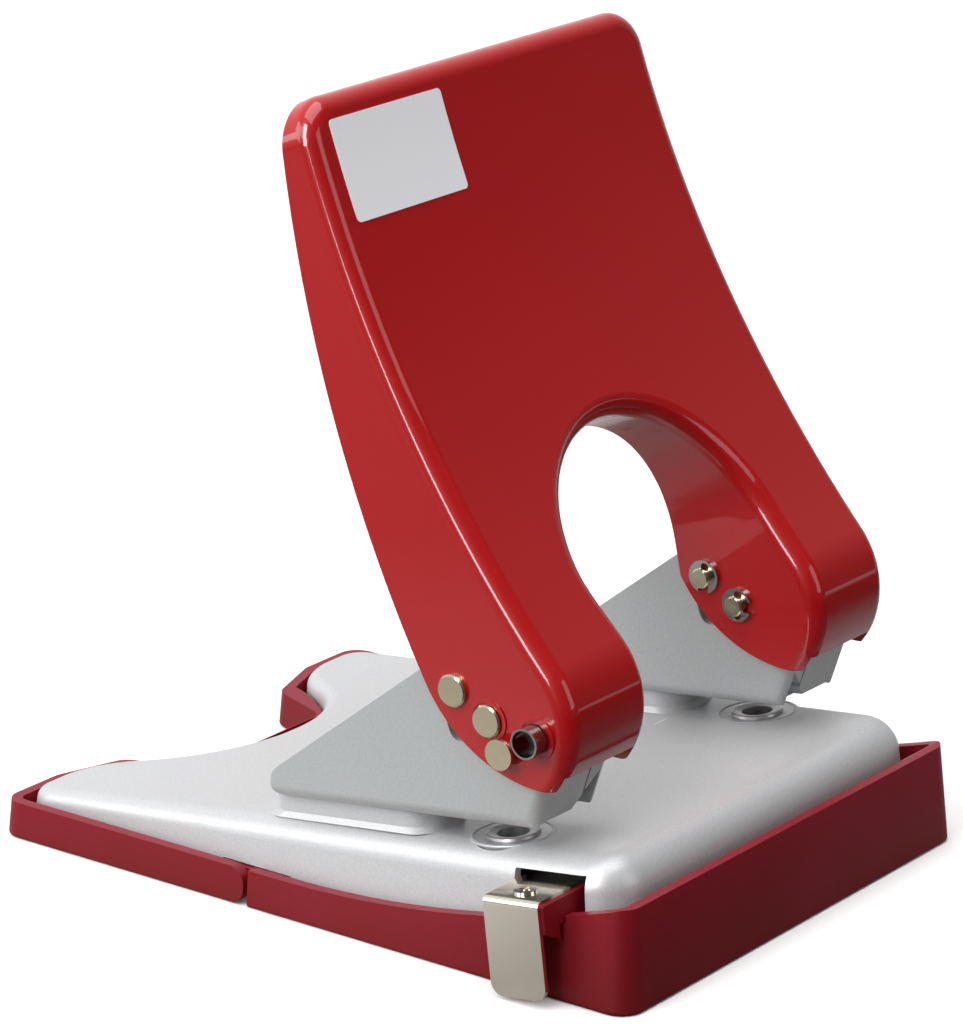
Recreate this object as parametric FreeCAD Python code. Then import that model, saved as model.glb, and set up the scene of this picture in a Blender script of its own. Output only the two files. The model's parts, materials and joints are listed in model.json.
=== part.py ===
"""Two-hole desk punch with a tall lever handle, in millimetres.

X runs across the punch, Y from the paper side (-Y) to the back (+Y), Z up.
The origin is on the desk, midway under the line through both punched holes.
The deck slopes, so what stands on it is drawn in the deck frame (x, u, w):
u runs down the slope to the back, w is normal to the deck, and w = 0 at the die rims.
"""
import FreeCAD
import Part
import math
import os

from FreeCAD import Vector

# ---------------------------------------------------------------- driving dimensions
HOLE_SPACING = 80.0         # centre to centre, the two-hole filing standard
PAPER_GAP = 4.1             # throat between die rim and bracket
DECK_TILT = 7.0             # degrees, deck falls to the back
DIE_RIM_HEIGHT = 22.9       # die rim above the desk
DIE_RIM_PROUD = 0.4         # die rim above the deck

# base cover
COVER_OVERHANG = 12.4       # cover beyond the punches' axes, each side
COVER_FRONT = -32.8
COVER_BACK = 110.8
COVER_WALL = 2.0
COVER_FOOT = 2.2            # lower edge of the cover's walls above the desk
COVER_DRAFT = 2.4           # lean of the walls over DRAFT_HEIGHT
DRAFT_HEIGHT = 20.0
COVER_FRONT_CORNER = 10.0
COVER_LEG_OUTER_CORNER = 6.0
COVER_LEG_INNER_CORNER = 17.0
FRONT_EDGE_ROUND = 6.8      # deck edge rounding at the paper side
BACK_EDGE_ROUND = 2.6       # and at the tips of the legs
INNER_EDGE_ROUND = 2.5
NOTCH_INSET = 9.2           # notch radius short of a punch's axis
NOTCH_SETBACK = 5.2         # notch centre behind the legs' tips

# boot, split into a fixed tray and a drop-down door
BOOT_REVEAL = 3.3           # boot beyond the cover's sides
BOOT_REVEAL_FRONT = 4.2
BOOT_REVEAL_BACK = 2.6
BOOT_WALL = 2.2
BOOT_FLOOR = 1.6
BOOT_DRAFT = 1.7
BOOT_FRONT_CORNER = 5.0
BOOT_LEG_CORNER = 4.5
BOOT_LEG_INNER_CORNER = 6.0
HEEL_CORNER = 4.5
GRIP_CORNER = 2.5
BOOT_EDGE_ROUND = 0.8
BOOT_RIM_LOW = 7.4          # rim height along the sides
BOOT_RIM_DROP = 3.1         # rim at the paper side below the die rims
RIM_KNEE = 4.6              # where the low rim would meet the rising one
RIM_ANGLE = 18.0            # degrees
RIM_RADIUS = 236.0
BOOT_SPLIT = 50.8
SPLIT_GAP = 1.0
DOOR_AXIS_HEIGHT = 3.7
DOOR_NOSE_RADIUS = 3.6
TRUNNION_RADIUS = 1.3
EAR_RADIUS = 2.9
EAR_THICKNESS = 1.8
EAR_ROOT = 6.0
EAR_RECESS = 1.4            # room for the ears in the cover's walls
LEG_FLAT_INSET = 1.0        # inner end of each leg's straight back, inside the punch's axis
HEEL_INSET = 16.0           # heel of each leg inside the punch's axis
HEEL_SETBACK = 4.9          # and ahead of the leg's back
GRIP_SETBACK = 19.9         # back edge of the finger grip ahead of the legs' backs
GRIP_INSET = 21.6
GRIP_THICKNESS = 1.6
GRIP_SLOT_WIDTH = 0.9
GRIP_SLOT_PITCH = 1.6
GRIP_SLOT_COUNT = 3
GRIP_SLOT_MARGIN = 1.3

# dies and die plate
PUNCH_RADIUS = 3.0
RUNNING_CLEARANCE = 0.05
DIE_BOSS_RADIUS = 5.0
DIE_FLANGE_RADIUS = 7.5
DIE_FLANGE_DROP = 0.45      # flange below the die rim
DIE_DISH = 0.3
DIE_EDGE = 0.3              # small bevels of the die's rims
DIE_SPIGOT_RADIUS = 4.2
DIE_SPIGOT_PROUD = 1.0
DIE_PLATE_THICKNESS = 3.0
DIE_PLATE_EDGE = 5.4        # plate beyond the die's axis
DIE_PLATE_BACK = 40.6
DIE_PLATE_CORNER = 3.0

# brackets
BRACKET_HALF_WIDTH = 10.0
BRACKET_SHEET = 2.0
BRACKET_BACK = 48.7
BRACKET_BACK_HEIGHT = 5.0
BRACKET_SLOPE = 31.2        # degrees, back edge of the side plates
BRACKET_TOP = 33.6
BRACKET_FRONT_FOOT = -12.0
BRACKET_FRONT = -16.2
BRACKET_FRONT_KNEE = 13.0
BRACKET_TOP_CORNER = 10.0
BRACKET_BEND = 2.6
BRACKET_BACK_ROUND = 4.0
BRACKET_CREST_ROUND = 3.0
BRACKET_KNEE_ROUND = 4.0
FLAP_TOP = 24.0             # front half-plates, folded in from both sides
FLAP_SEAM = 4.3             # seam between them, inboard of the bracket's middle
FLAP_GAP = 0.5
FLAP_FOOT = 0.7             # outer half-plate above the side plates' lower edge
FLAP_CHAMFER = 2.4
FLAP_INNER_FOOT = 3.6       # inner half-plate, at the seam and at the fold
FLAP_FOLD_FOOT = 7.0
FLAP_RELIEF = 0.8
FOLD_RADIUS = 2.0
SEAT_HALF_WIDTH = 7.2
SEAT_START = 14.0           # seat's front end behind the die's axis
SEAT_PROUD = 2.3            # seat behind the bracket
SEAT_FRONT_ROUND = 6.0
SEAT_BACK_ROUND = 3.0
SEAT_FLARE = 0.7
RIVET_RADIUS = 2.0
RIVET_HEAD_RADIUS = 3.4
RIVET_HEAD_HEIGHT = 1.3
RIVET_HEAD_FLAT = 2.2       # flat crown of the head
RIVET_HEAD_RIM = 0.5        # straight side under its bevel
RIVET_FIRST = 20.0
RIVET_PITCH = 15.0
RIVET_COUNT = 2

# lever linkage
PIVOT_Y = -3.1
PIVOT_RISE = 25.6           # above the die rims
PIN_RADIUS = 2.0
DRIVE_RADIUS = 8.8          # pivot pin to drive pin
DRIVE_ANGLE = 28.0          # degrees above +Y at rest
HANDLE_SWING = 55.0
PIN_HEAD_RADIUS = 3.1
PIN_HEAD_THICKNESS = 1.0
PIN_END = 2.2               # pin beyond the inner skirt
PIN_CHAMFER = 0.3
SLOT_CLEARANCE = 0.3        # drive pin in the brackets' arc slots
HEAD_SLOT_CLEARANCE = 0.4   # drive pin in the punch head
HEAD_SLOT_LIFT = 0.09
CLIP_RADIUS = 3.3
CLIP_THICKNESS = 0.8
CLIP_GROOVE = 0.5
CLIP_MOUTH = 2.2
LOCK_RADIUS = 6.4           # pivot pin to lock pin
LOCK_ANGLE = 231.0
LOCK_PIN_RADIUS = 1.7
LOCK_HEAD_RADIUS = 2.9
LOCK_HEAD_THICKNESS = 0.8
LOCK_TRAVEL = 1.3
EYELET_DISTANCE = 10.7      # pivot pin to eyelet
EYELET_ANGLE = 185.5
EYELET_RADIUS = 2.9
EYELET_BORE = 2.5
EYELET_PROUD = 3.8
COLLAR_RADIUS = 4.1         # drawn rims round the pivot pin's head and the eyelet
COLLAR_WALL = 0.7
COLLAR_HEIGHT = 0.3
LOCK_HOLE_CLEARANCE = 0.3
LOCK_STOP_GAP = 0.1

# punches, guides and return springs
PUNCH_TIP_RETRACT = 0.3
PUNCH_HEAD_RADIUS = 6.5
PUNCH_COLLAR_FOOT = 20.6
PUNCH_COLLAR_RADIUS = 6.2
PUNCH_HEAD_FOOT = 22.6
PUNCH_HEAD_TOP = 34.0
PUNCH_HEAD_CHAMFER = 0.8
PUNCH_NOTCH = 1.2           # depth of the V in the cutting end
GUIDE_FLANGE_RADIUS = 6.2
GUIDE_FLANGE = 1.0
GUIDE_BODY_RADIUS = 4.5
GUIDE_HEIGHT = 12.0
GUIDE_CHAMFER = 0.5
SPRING_WIRE_RADIUS = 0.45
SPRING_RADIUS = 5.1
SPRING_TURNS = 5
SPRING_STEPS = 12           # straight runs to a turn
SPRING_WIRE_SIDES = 8

# handle pressing
HANDLE_SHEET = 1.4
HANDLE_FOLD = 3.4
NOSE_FOLD = 2.2             # the fold tightens towards the arms' feet
HANDLE_TOP = 115.8          # above the pivot, along the pressing's length
HANDLE_TOP_CORNER = 8.0
HANDLE_LEAN = 24.0          # degrees back from upright
HANDLE_TOP_REACH = 6.0      # top edge of the face ahead of the pivot, across the length
ARM_HALF_WIDTH = 11.8       # each arm, about its bracket
ARM_END_RADIUS = 18.2       # round the pivot
FACE_RADIUS = 258.0
WINDOW_CENTRE = 15.0        # arch centre above the pivot, along the length
SKIRT_RADIUS = 260.0
SKIRT_FOOT_RADIUS = 30.2
SKIRT_FOOT_Y = -12.0        # centre of the skirts' lower arc from the pivot
SKIRT_FOOT_Z = 19.2
SKIRT_TIP_RADIUS = 2.0
SKIRT_TOP_DEPTH = 5.8
SKIRT_TRIM = 3.1            # front plate ends above the skirts' tips
ARCH_EDGE_REACH = 12.9      # straight back edge of the inner skirts, behind the pivot
ARCH_EDGE_LEAN = 11.8       # degrees back from upright

# paper gauge
GAUGE_WIDTH = 12.2
GAUGE_BACK_EDGE = -8.1
GAUGE_DROP = 4.9            # stop plate's top below the die rims
GAUGE_STEEL = 0.9
GAUGE_BEND = 1.3
GAUGE_BAR = 4.5             # carrier's depth under the steel
GAUGE_SIDE = 0.6            # carrier wider than the steel, each side
GAUGE_REACH = 5.3           # outer face of the stop beyond the boot
GAUGE_STOP_FOOT = 23.6      # below the die rims
GAUGE_STOP_CORNER = 2.5
GUSSET_OUTER_DROP = 11.0
GUSSET_INNER_DROP = 13.2
WINDOW_HEADROOM = 1.6
WINDOW_FRONT_GAP = 2.4      # cover's window ahead of the gauge's steel
GUIDE_TUBE_OUTER = 5.0      # tube's outer end beyond the punch's axis
GUIDE_TUBE_LENGTH = 16.0
GUIDE_TUBE_WALL = 1.2
GAUGE_SCREW_INSET = 5.0
GAUGE_SCREW_RADIUS = 0.9
GAUGE_SCREW_HEAD = 2.2
GAUGE_SCREW_RISE = 0.4
GAUGE_SCREW_DEPTH = 3.0
GAUGE_SCREW_CROSS = 1.4
GAUGE_SCREW_SLOT = 0.3

# fastenings and small fits
SCREW_INSET = 18.0          # boot screws inside the punches' axes
SCREW_ROWS = (4.0, 34.0)
SCREW_RADIUS = 1.5
SCREW_HEAD_RADIUS = 2.8
SCREW_HEAD_THICKNESS = 1.8
SCREW_RECESS = 2.6
SCREW_POST_RADIUS = 3.6
SCREW_POST_FLARE = 1.2
FIT_GAP = 0.3
LABEL_WIDTH = 32.6
LABEL_HEIGHT = 19.1
LABEL_OUTER_EDGE = 5.7      # from the handle's side
LABEL_TOP_EDGE = 5.0        # from the handle's top
LABEL_THICKNESS = 0.15

# ---------------------------------------------------------------- worked-out sizes
BRACKET_X = HOLE_SPACING / 2
COVER_HALF_WIDTH = BRACKET_X + COVER_OVERHANG
NOTCH_RADIUS = BRACKET_X - NOTCH_INSET
NOTCH_CENTRE_Y = COVER_BACK + NOTCH_SETBACK
BOOT_HALF_WIDTH = COVER_HALF_WIDTH + BOOT_REVEAL
BOOT_FRONT = COVER_FRONT - BOOT_REVEAL_FRONT
BOOT_BACK = COVER_BACK + BOOT_REVEAL_BACK
BOOT_RIM_HIGH = DIE_RIM_HEIGHT - BOOT_RIM_DROP
GRIP_EDGE = BOOT_BACK - GRIP_SETBACK
SEAT_BACK = BRACKET_BACK + SEAT_PROUD
HANDLE_HALF_WIDTH = BRACKET_X + ARM_HALF_WIDTH
PIVOT_Z = DIE_RIM_HEIGHT + PIVOT_RISE
GAUGE_OUT = BOOT_HALF_WIDTH + GAUGE_REACH
GAUGE_INNER_END = BRACKET_X
GAUGE_SCREW_X = GAUGE_OUT - GAUGE_SCREW_INSET
DIE_PLATE_FRONT = GAUGE_BACK_EDGE + GAUGE_SIDE + GUIDE_TUBE_WALL + 2 * FIT_GAP
BORE_RADIUS = PUNCH_RADIUS + RUNNING_CLEARANCE
PIN_BORE = PIN_RADIUS + RUNNING_CLEARANCE
RIVET_ROWS = [RIVET_FIRST + RIVET_PITCH * n for n in range(RIVET_COUNT)]
DOOR_FRONT = BOOT_SPLIT + SPLIT_GAP
DOOR_AXIS_Y = DOOR_FRONT + DOOR_NOSE_RADIUS
DECK = FreeCAD.Placement(Vector(0, 0, DIE_RIM_HEIGHT), FreeCAD.Rotation(Vector(1, 0, 0), -DECK_TILT))
DECK_TOP = -DIE_RIM_PROUD
DECK_UNDER = DECK_TOP - COVER_WALL
DIE_PLATE_UNDER = DECK_UNDER - DIE_PLATE_THICKNESS
WINDOW_RADIUS = BRACKET_X - ARM_HALF_WIDTH
BIG = 400.0


os.makedirs("parts", exist_ok=True)


# ---------------------------------------------------------------- drawing helpers
def rounded_wire(corners, place):
    """Closed wire of straight runs with a tangent arc at each (a, b, radius) corner."""
    count = len(corners)
    edges = []
    ends = []
    for index, (a, b, radius) in enumerate(corners):
        here = Vector(a, b, 0)
        before = Vector(*corners[index - 1][:2], 0) - here
        after = Vector(*corners[(index + 1) % count][:2], 0) - here
        before.normalize()
        after.normalize()
        if radius <= 0:
            ends.append((here, None, here))
            continue
        half = before.getAngle(after) / 2
        cut = radius / math.tan(half)
        bisector = before + after
        bisector.normalize()
        centre = here + bisector * (radius / math.sin(half))
        ends.append((here + before * cut, centre - bisector * radius, here + after * cut))
    for index, (start, middle, end) in enumerate(ends):
        if middle is not None:
            edges.append(Part.Arc(*(place(p.x, p.y) for p in (start, middle, end))).toShape())
        following = ends[(index + 1) % count][0]
        if (following - end).Length > 1e-6:
            edges.append(Part.LineSegment(place(end.x, end.y), place(following.x, following.y)).toShape())
    return Part.Wire(edges)


def flat(height):
    """Places a drawing in the horizontal plane at this height."""
    return lambda a, b: Vector(a, b, height)


def side(x):
    """Places a drawing in the upright plane at this x."""
    return lambda a, b: Vector(x, a, b)


def plate_x(corners, x_low, x_high):
    """Plate with its outline in the side view, from x_low to x_high."""
    face = Part.Face(rounded_wire(corners, side(x_low)))
    return face.extrude(Vector(x_high - x_low, 0, 0))


def box(x_low, x_high, y_low, y_high, z_low, z_high):
    return Part.makeBox(x_high - x_low, y_high - y_low, z_high - z_low, Vector(x_low, y_low, z_low))


def rod_x(radius, x_low, x_high, a, b):
    """Round bar along X at (a, b) in the side view."""
    return Part.makeCylinder(radius, x_high - x_low, Vector(x_low, a, b), Vector(1, 0, 0))


def rod_w(radius, x, u, w_low, w_high):
    """Round bar along the deck normal, in the deck frame."""
    return Part.makeCylinder(radius, w_high - w_low, Vector(x, u, w_low))


def on_deck(shape):
    """Moves a shape from the deck frame to the punch's frame."""
    placed = shape.copy()
    placed.Placement = DECK.multiply(placed.Placement)
    return placed


def to_deck(y, z):
    """(y, z) of the punch's frame as (u, w)."""
    point = DECK.inverse().multVec(Vector(0, y, z))
    return point.y, point.z


def mirrored(shape):
    return shape.mirror(Vector(0, 0, 0), Vector(1, 0, 0))


def around_pivot(radius, angle):
    """(y, z) at a radius and an angle in degrees round the pivot pin."""
    turn = math.radians(angle)
    return PIVOT_Y + radius * math.cos(turn), PIVOT_Z + radius * math.sin(turn)


def circle_centre(first, first_radius, second, second_radius):
    """Centre at these distances from two points, on the left of the line first-second."""
    gap = second - first
    along = (first_radius ** 2 - second_radius ** 2 + gap.Length ** 2) / (2 * gap.Length)
    height = math.sqrt(first_radius ** 2 - along ** 2)
    gap.normalize()
    return first + gap * along + Vector(-gap.y, gap.x, 0) * height


def solid_of(shape):
    """The one solid of a boolean result."""
    return shape.removeSplitter().Solids[0]


def save(name, shape):
    shape.exportStep("parts/" + name + ".step")


def inset_corners(corners, shift, share=1.0):
    """A counter-clockwise outline moved inwards, with its corners' radii following by this share."""
    sides = []
    for index, corner in enumerate(corners):
        start = Vector(corner[0], corner[1], 0)
        along = Vector(*corners[(index + 1) % len(corners)][:2], 0) - start
        along.normalize()
        sides.append((start + Vector(-along.y, along.x, 0) * shift, along))
    moved = []
    for index, corner in enumerate(corners):
        (p, d), (q, e) = sides[index - 1], sides[index]
        turn = d.x * e.y - d.y * e.x
        point = p + d * (((q.x - p.x) * e.y - (q.y - p.y) * e.x) / turn)
        moved.append((point.x, point.y, max(corner[2] - math.copysign(shift * share, turn), 0.1)))
    return moved


def drafted_block(corners, inset, foot, top, draft):
    """Block on a rounded plan whose walls lean in by draft over DRAFT_HEIGHT, its corners by half."""
    def wire(height):
        plan = inset_corners(inset_corners(corners, inset), draft * height / DRAFT_HEIGHT, 0.5)
        return rounded_wire(plan, flat(height))
    return Part.makeLoft([wire(foot), wire(top)], True, True)


def both_sides(corners):
    """Outline of a symmetric plan from its +X half, front to back."""
    return corners + [(-a, b, radius) for a, b, radius in reversed(corners)]


def deck_z(y, w):
    """Height of the deck-parallel plane w at this y."""
    tilt = math.radians(DECK_TILT)
    return DIE_RIM_HEIGHT + (w - y * math.sin(tilt)) / math.cos(tilt)


def above_deck_plane(w):
    return on_deck(box(-BIG, BIG, -BIG, BIG, w, BIG))


# ---------------------------------------------------------------- base cover
COVER_OUTLINE = both_sides([(COVER_HALF_WIDTH, COVER_FRONT, COVER_FRONT_CORNER),
                            (COVER_HALF_WIDTH, COVER_BACK, COVER_LEG_OUTER_CORNER)])


def fillet_edges(shape, radii_of):
    """Rounds each edge that radii_of gives a start and an end radius for."""
    document = FreeCAD.newDocument("rounding")
    source = document.addObject("Part::Feature", "source")
    source.Shape = shape
    rounding = document.addObject("Part::Fillet", "rounding")
    rounding.Base = source
    found = [(number, radii_of(edge)) for number, edge in enumerate(source.Shape.Edges, 1)]
    rounding.Edges = [(number, radii[0], radii[1]) for number, radii in found if radii]
    document.recompute()
    result = rounding.Shape.copy()
    FreeCAD.closeDocument(document.Name)
    return result


def cover_form(inset, edge_round):
    """The cover's outer form, or its hollow when inset by the wall."""
    foot = COVER_FOOT - inset
    height = 2 * DRAFT_HEIGHT
    block = drafted_block(COVER_OUTLINE, inset, foot, height, COVER_DRAFT)
    notch = Part.makeCylinder(NOTCH_RADIUS + inset, height, Vector(0, NOTCH_CENTRE_Y, foot - 1))
    body = solid_of(block.cut(notch).cut(above_deck_plane(DECK_TOP - inset)))

    def leg_corner(edge):
        extent = edge.BoundBox
        inner = abs(edge.CenterOfMass.x) < NOTCH_RADIUS + inset + 1 and edge.CenterOfMass.y > GRIP_EDGE
        if inner and extent.ZMin < foot + 0.1 and extent.ZMax > foot + 1 and extent.XLength < 4:
            return (COVER_LEG_INNER_CORNER - inset / 2,) * 2
        return None
    body = fillet_edges(body, leg_corner)

    def deck_edge(edge):
        ends = edge.Vertexes
        if all(abs(to_deck(v.Y, v.Z)[1] - (DECK_TOP - inset)) < 0.01 for v in ends):
            return edge_round(ends[0].Y), edge_round(ends[-1].Y)
        return None
    return fillet_edges(body, deck_edge)


def cover_edge_round(y):
    """Deck edge rounding, growing from the leg tips to the paper side."""
    share = (COVER_BACK - y) / (COVER_BACK - COVER_FRONT)
    return BACK_EDGE_ROUND + (FRONT_EDGE_ROUND - BACK_EDGE_ROUND) * min(max(share, 0), 1)


GAUGE_FRONT_EDGE = GAUGE_BACK_EDGE - GAUGE_WIDTH
GAUGE_UNDER = -GAUGE_DROP - GAUGE_STEEL - GAUGE_BAR
cover = cover_form(0, cover_edge_round).cut(cover_form(COVER_WALL, lambda y: INNER_EDGE_ROUND))
tube_outer = BRACKET_X + GUIDE_TUBE_OUTER
ear_recess = COVER_HALF_WIDTH - COVER_WALL - EAR_RECESS
cutters = [on_deck(box(-BIG, -tube_outer, GAUGE_FRONT_EDGE - WINDOW_FRONT_GAP, GAUGE_BACK_EDGE + GAUGE_SIDE + FIT_GAP,
                       GAUGE_UNDER - GUIDE_TUBE_WALL - 1, WINDOW_HEADROOM - GAUGE_DROP))]
for x in (-BRACKET_X, BRACKET_X):
    cutters.append(on_deck(rod_w(DIE_FLANGE_RADIUS + FIT_GAP, x, 0, DECK_UNDER - 1, 1)))
    for u in RIVET_ROWS:
        cutters.append(on_deck(rod_w(RIVET_RADIUS, x, u, DECK_UNDER - 1, 1)))
for x_low, x_high in ((-BIG, -ear_recess), (ear_recess, BIG)):
    cutters.append(box(x_low, x_high, BOOT_SPLIT - EAR_ROOT - EAR_RECESS, DOOR_AXIS_Y + EAR_RADIUS + EAR_RECESS, 0,
                       DOOR_AXIS_HEIGHT + EAR_RADIUS + FIT_GAP))
base_cover = solid_of(cover.cut(Part.makeCompound(cutters)))
save("base_cover", base_cover)

# ---------------------------------------------------------------- die plate, dies
plate_half = BRACKET_X + DIE_PLATE_EDGE
plate_outline = both_sides([(plate_half, DIE_PLATE_FRONT, DIE_PLATE_CORNER),
                            (plate_half, DIE_PLATE_BACK, DIE_PLATE_CORNER)])
plate = Part.Face(rounded_wire(plate_outline, flat(DIE_PLATE_UNDER))).extrude(Vector(0, 0, DIE_PLATE_THICKNESS))
for x in (-BRACKET_X, BRACKET_X):
    plate = plate.cut(rod_w(DIE_SPIGOT_RADIUS, x, 0, DIE_PLATE_UNDER - 1, 0))
    for u in RIVET_ROWS:
        plate = plate.cut(rod_w(RIVET_RADIUS, x, u, DIE_PLATE_UNDER - 1, 0))
plate = on_deck(plate)
screw_x = BRACKET_X - SCREW_INSET
SCREW_PLACES = [(x, y) for x in (-screw_x, screw_x) for y in SCREW_ROWS]
for x, y in SCREW_PLACES:
    plate = plate.cut(Part.makeCylinder(SCREW_RADIUS, BIG, Vector(x, y, 0)))
save("die_plate", plate)


def revolved_w(profile, x, u):
    """Solid of revolution about the deck normal at (x, u), from (radius, w) points."""
    points = [Vector(x + radius, u, w) for radius, w in profile]
    face = Part.Face(Part.makePolygon(points + points[:1]))
    return face.revolve(Vector(x, u, 0), Vector(0, 0, 1), 360)


def die(x):
    spigot_foot = DIE_PLATE_UNDER - DIE_SPIGOT_PROUD
    return on_deck(revolved_w([
        (BORE_RADIUS, -DIE_DISH), (DIE_BOSS_RADIUS - 2 * DIE_EDGE, -DIE_EDGE / 6), (DIE_BOSS_RADIUS - DIE_EDGE, 0),
        (DIE_BOSS_RADIUS, -DIE_EDGE / 3), (DIE_BOSS_RADIUS + DIE_EDGE / 2, -DIE_FLANGE_DROP - DIE_EDGE / 3),
        (DIE_FLANGE_RADIUS - DIE_EDGE, -DIE_FLANGE_DROP), (DIE_FLANGE_RADIUS, -DIE_FLANGE_DROP - DIE_EDGE),
        (DIE_FLANGE_RADIUS, DECK_UNDER),
        (DIE_SPIGOT_RADIUS, DECK_UNDER), (DIE_SPIGOT_RADIUS, spigot_foot), (BORE_RADIUS, spigot_foot)], x, 0))


save("die_left", die(-BRACKET_X))
save("die_right", die(BRACKET_X))

# ---------------------------------------------------------------- boot and tray door
BOOT_OUTLINE = both_sides([(BOOT_HALF_WIDTH, BOOT_FRONT, BOOT_FRONT_CORNER),
                           (BOOT_HALF_WIDTH, BOOT_BACK, BOOT_LEG_CORNER),
                           (BRACKET_X - LEG_FLAT_INSET, BOOT_BACK, BOOT_LEG_INNER_CORNER),
                           (BRACKET_X - HEEL_INSET, BOOT_BACK - HEEL_SETBACK, HEEL_CORNER),
                           (BRACKET_X - GRIP_INSET, GRIP_EDGE, GRIP_CORNER)])
boot_form = drafted_block(BOOT_OUTLINE, 0, 0, 1.5 * DRAFT_HEIGHT, BOOT_DRAFT)
boot_form = fillet_edges(boot_form, lambda edge: (BOOT_EDGE_ROUND,) * 2 if edge.BoundBox.ZMax < 0.01 else None)
boot_hollow = drafted_block(BOOT_OUTLINE, BOOT_WALL, BOOT_FLOOR, 1.5 * DRAFT_HEIGHT + 1, BOOT_DRAFT)
rim_slope = math.radians(RIM_ANGLE)
rim_run = (BOOT_RIM_HIGH - BOOT_RIM_LOW) / math.sin(rim_slope)
rim_radius = min(RIM_RADIUS, 0.98 * rim_run / math.tan(rim_slope / 2))
rim_air = plate_x([(BIG, BOOT_RIM_LOW, 0), (BIG, BIG, 0), (-BIG, BIG, 0), (-BIG, BOOT_RIM_HIGH, 0),
                   (RIM_KNEE - rim_run * math.cos(rim_slope), BOOT_RIM_HIGH, 0),
                   (RIM_KNEE, BOOT_RIM_LOW, rim_radius)], -BIG, BIG)
boot_shell = boot_form.cut(boot_hollow).cut(rim_air)

# fixed front piece, with screw posts up to the die plate and ears for the door
ear_outer = BOOT_HALF_WIDTH - BOOT_WALL - BOOT_DRAFT * BOOT_RIM_LOW / DRAFT_HEIGHT - FIT_GAP
ear_inner = ear_outer - EAR_THICKNESS


def ear():
    low, high = DOOR_AXIS_HEIGHT - EAR_RADIUS, DOOR_AXIS_HEIGHT + EAR_RADIUS
    tongue = plate_x([(BOOT_SPLIT - EAR_ROOT, low, 0), (DOOR_AXIS_Y + EAR_RADIUS, low, EAR_RADIUS * 0.99),
                      (DOOR_AXIS_Y + EAR_RADIUS, high, EAR_RADIUS * 0.99),
                      (BOOT_SPLIT - EAR_ROOT, high, 0)], ear_inner, ear_outer)
    root = box(ear_inner, BOOT_HALF_WIDTH - BOOT_WALL / 2, BOOT_SPLIT - EAR_ROOT, BOOT_SPLIT - 1, low, high)
    bore = rod_x(TRUNNION_RADIUS + RUNNING_CLEARANCE, ear_inner - 1, ear_outer + 1, DOOR_AXIS_Y, DOOR_AXIS_HEIGHT)
    return tongue.fuse(root).cut(bore)


chip_boot = boot_shell.cut(box(-BIG, BIG, BOOT_SPLIT, BIG, -1, BIG)).fuse([ear(), mirrored(ear())])
below_plate = above_deck_plane(DIE_PLATE_UNDER)
for x, y in SCREW_PLACES:
    post = Part.makeCone(SCREW_POST_RADIUS + SCREW_POST_FLARE, SCREW_POST_RADIUS, 2 * DRAFT_HEIGHT, Vector(x, y, 0))
    chip_boot = chip_boot.fuse(post.cut(below_plate))
for x, y in SCREW_PLACES:
    bore = Part.makeCylinder(SCREW_RADIUS + 0.2, BIG, Vector(x, y, -1))
    recess = Part.makeCylinder(SCREW_HEAD_RADIUS + FIT_GAP, SCREW_RECESS + 1, Vector(x, y, -1))
    chip_boot = chip_boot.cut(bore.fuse(recess))
chip_boot = chip_boot.cut(on_deck(box(-BIG, -ear_inner, GAUGE_FRONT_EDGE - GAUGE_SIDE - FIT_GAP,
                                      GAUGE_BACK_EDGE + GAUGE_SIDE + FIT_GAP, GAUGE_UNDER - FIT_GAP, BIG)))
save("chip_boot", solid_of(chip_boot))

for number, (x, y) in enumerate(SCREW_PLACES, 1):
    shank_top = deck_z(y, DECK_UNDER - 0.6)
    screw = Part.makeCylinder(SCREW_RADIUS, shank_top - SCREW_RECESS, Vector(x, y, SCREW_RECESS))
    head = Part.makeCylinder(SCREW_HEAD_RADIUS, SCREW_HEAD_THICKNESS, Vector(x, y, SCREW_RECESS - SCREW_HEAD_THICKNESS))
    slot = box(x - 0.4, x + 0.4, y - SCREW_HEAD_RADIUS, y + SCREW_HEAD_RADIUS, 0, SCREW_RECESS - SCREW_HEAD_THICKNESS + 0.7)
    save("boot_screw_%d" % number, solid_of(screw.fuse(head).cut(slot)))

# rear piece: a door on two trunnions, with the finger grip between the legs
door_side = plate_x([(DOOR_FRONT, 0, DOOR_NOSE_RADIUS), (BIG, 0, 0), (BIG, BOOT_RIM_LOW, 0),
                     (DOOR_FRONT, BOOT_RIM_LOW, DOOR_NOSE_RADIUS)], -BIG, BIG)
grip_disc = Part.makeCylinder(NOTCH_RADIUS - 3 * FIT_GAP, GRIP_THICKNESS,
                              Vector(0, NOTCH_CENTRE_Y, BOOT_RIM_LOW - GRIP_THICKNESS))
notch_room = cover_form(-2 * FIT_GAP, lambda y: INNER_EDGE_ROUND).translated(Vector(0, 0, -COVER_FOOT)).cut(
    cover_form(COVER_WALL + 2 * FIT_GAP, lambda y: INNER_EDGE_ROUND)).common(
    box(-BRACKET_X, BRACKET_X, GRIP_EDGE - NOTCH_INSET, BIG, COVER_FOOT - FIT_GAP, BIG))
door = boot_shell.common(door_side).cut(notch_room).fuse(boot_form.common(grip_disc))
ear_slot = box(ear_inner - FIT_GAP, BOOT_HALF_WIDTH - BOOT_WALL - FIT_GAP, DOOR_FRONT - 1,
               DOOR_AXIS_Y + EAR_RADIUS + 2 * FIT_GAP, -1, BOOT_FLOOR + 1)
door = door.cut(ear_slot).cut(mirrored(ear_slot))
trunnion = rod_x(TRUNNION_RADIUS, ear_inner, BOOT_HALF_WIDTH - BOOT_WALL / 2, DOOR_AXIS_Y, DOOR_AXIS_HEIGHT)
door = door.fuse([trunnion, mirrored(trunnion)])
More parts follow.
